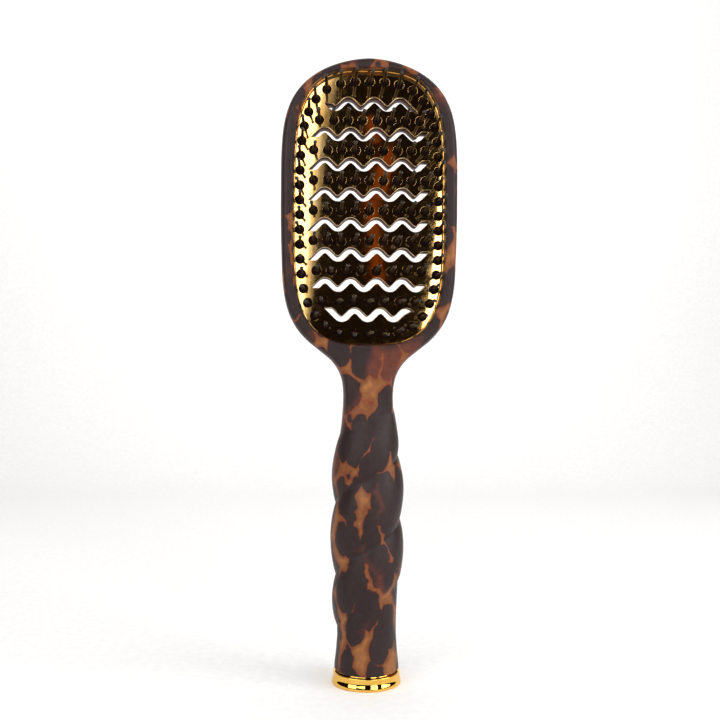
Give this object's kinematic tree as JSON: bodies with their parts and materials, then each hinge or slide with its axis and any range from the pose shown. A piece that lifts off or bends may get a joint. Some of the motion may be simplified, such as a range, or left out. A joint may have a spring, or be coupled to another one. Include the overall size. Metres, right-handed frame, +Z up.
{
  "type": "hairbrush",
  "caption": "Vented oval hairbrush with a polished gold-coloured plate, ball-tipped pins, zigzag air slots and a twisted tortoise-pattern handle on a round cap.",
  "frame": {"origin": "centre of the flat base of the end cap, which the brush stands on", "axes": "+Z up the handle to the top of the head, the pins point along -Y, +X to the right when looking at the pins"},
  "size_m": [0.0664, 0.0349, 0.235],
  "materials": {
    "tortoise_plastic": "soft-touch matt over a printed tortoise pattern of amber patches on dark brown",
    "gold_plate": "mirror polished, gold-coloured",
    "gold_cap": "mirror polished, gold-coloured",
    "pin_nylon": "glossy dark brown-black nylon"
  },
  "bodies": {
    "root": {"front_shell": "tortoise_plastic", "back_shell": "tortoise_plastic", "vent_plate": "gold_plate", "pin_arc_top": "pin_nylon", "pin_arc_right": "pin_nylon", "pin_arc_bottom": "pin_nylon", "pin_arc_left": "pin_nylon", "pin_row_1": "pin_nylon", "pin_row_2": "pin_nylon", "pin_row_3": "pin_nylon", "pin_row_4": "pin_nylon", "pin_row_5": "pin_nylon", "pin_row_6": "pin_nylon", "pin_row_7": "pin_nylon", "end_cap": "gold_cap"}
  },
  "joints": []
}
